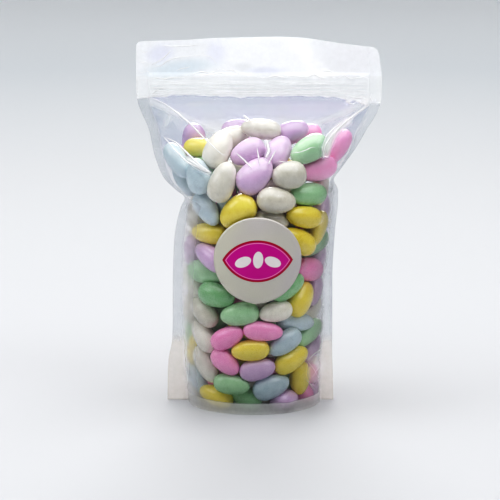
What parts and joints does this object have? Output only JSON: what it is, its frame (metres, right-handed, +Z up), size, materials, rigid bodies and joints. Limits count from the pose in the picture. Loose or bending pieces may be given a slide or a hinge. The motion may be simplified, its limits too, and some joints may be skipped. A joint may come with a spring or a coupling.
{
  "type": "bag of sugared almonds",
  "caption": "Clear stand-up pouch filled with pastel sugar-coated almonds, closed with a press-to-close strip and marked with a round front label.",
  "frame": {"origin": "the point on the resting surface under the middle of the pouch's header", "axes": "+Z up, -Y out of the front with the label, +X to the right seen from the front"},
  "size_m": [0.178, 0.1048, 0.2715],
  "materials": {
    "film": "clear film over pastel sugar shells",
    "zip_strip": "clear extruded strip",
    "label": "coated paper"
  },
  "bodies": {
    "root": {"pouch": "film", "zip_strip": "zip_strip", "label": "label"}
  },
  "joints": []
}
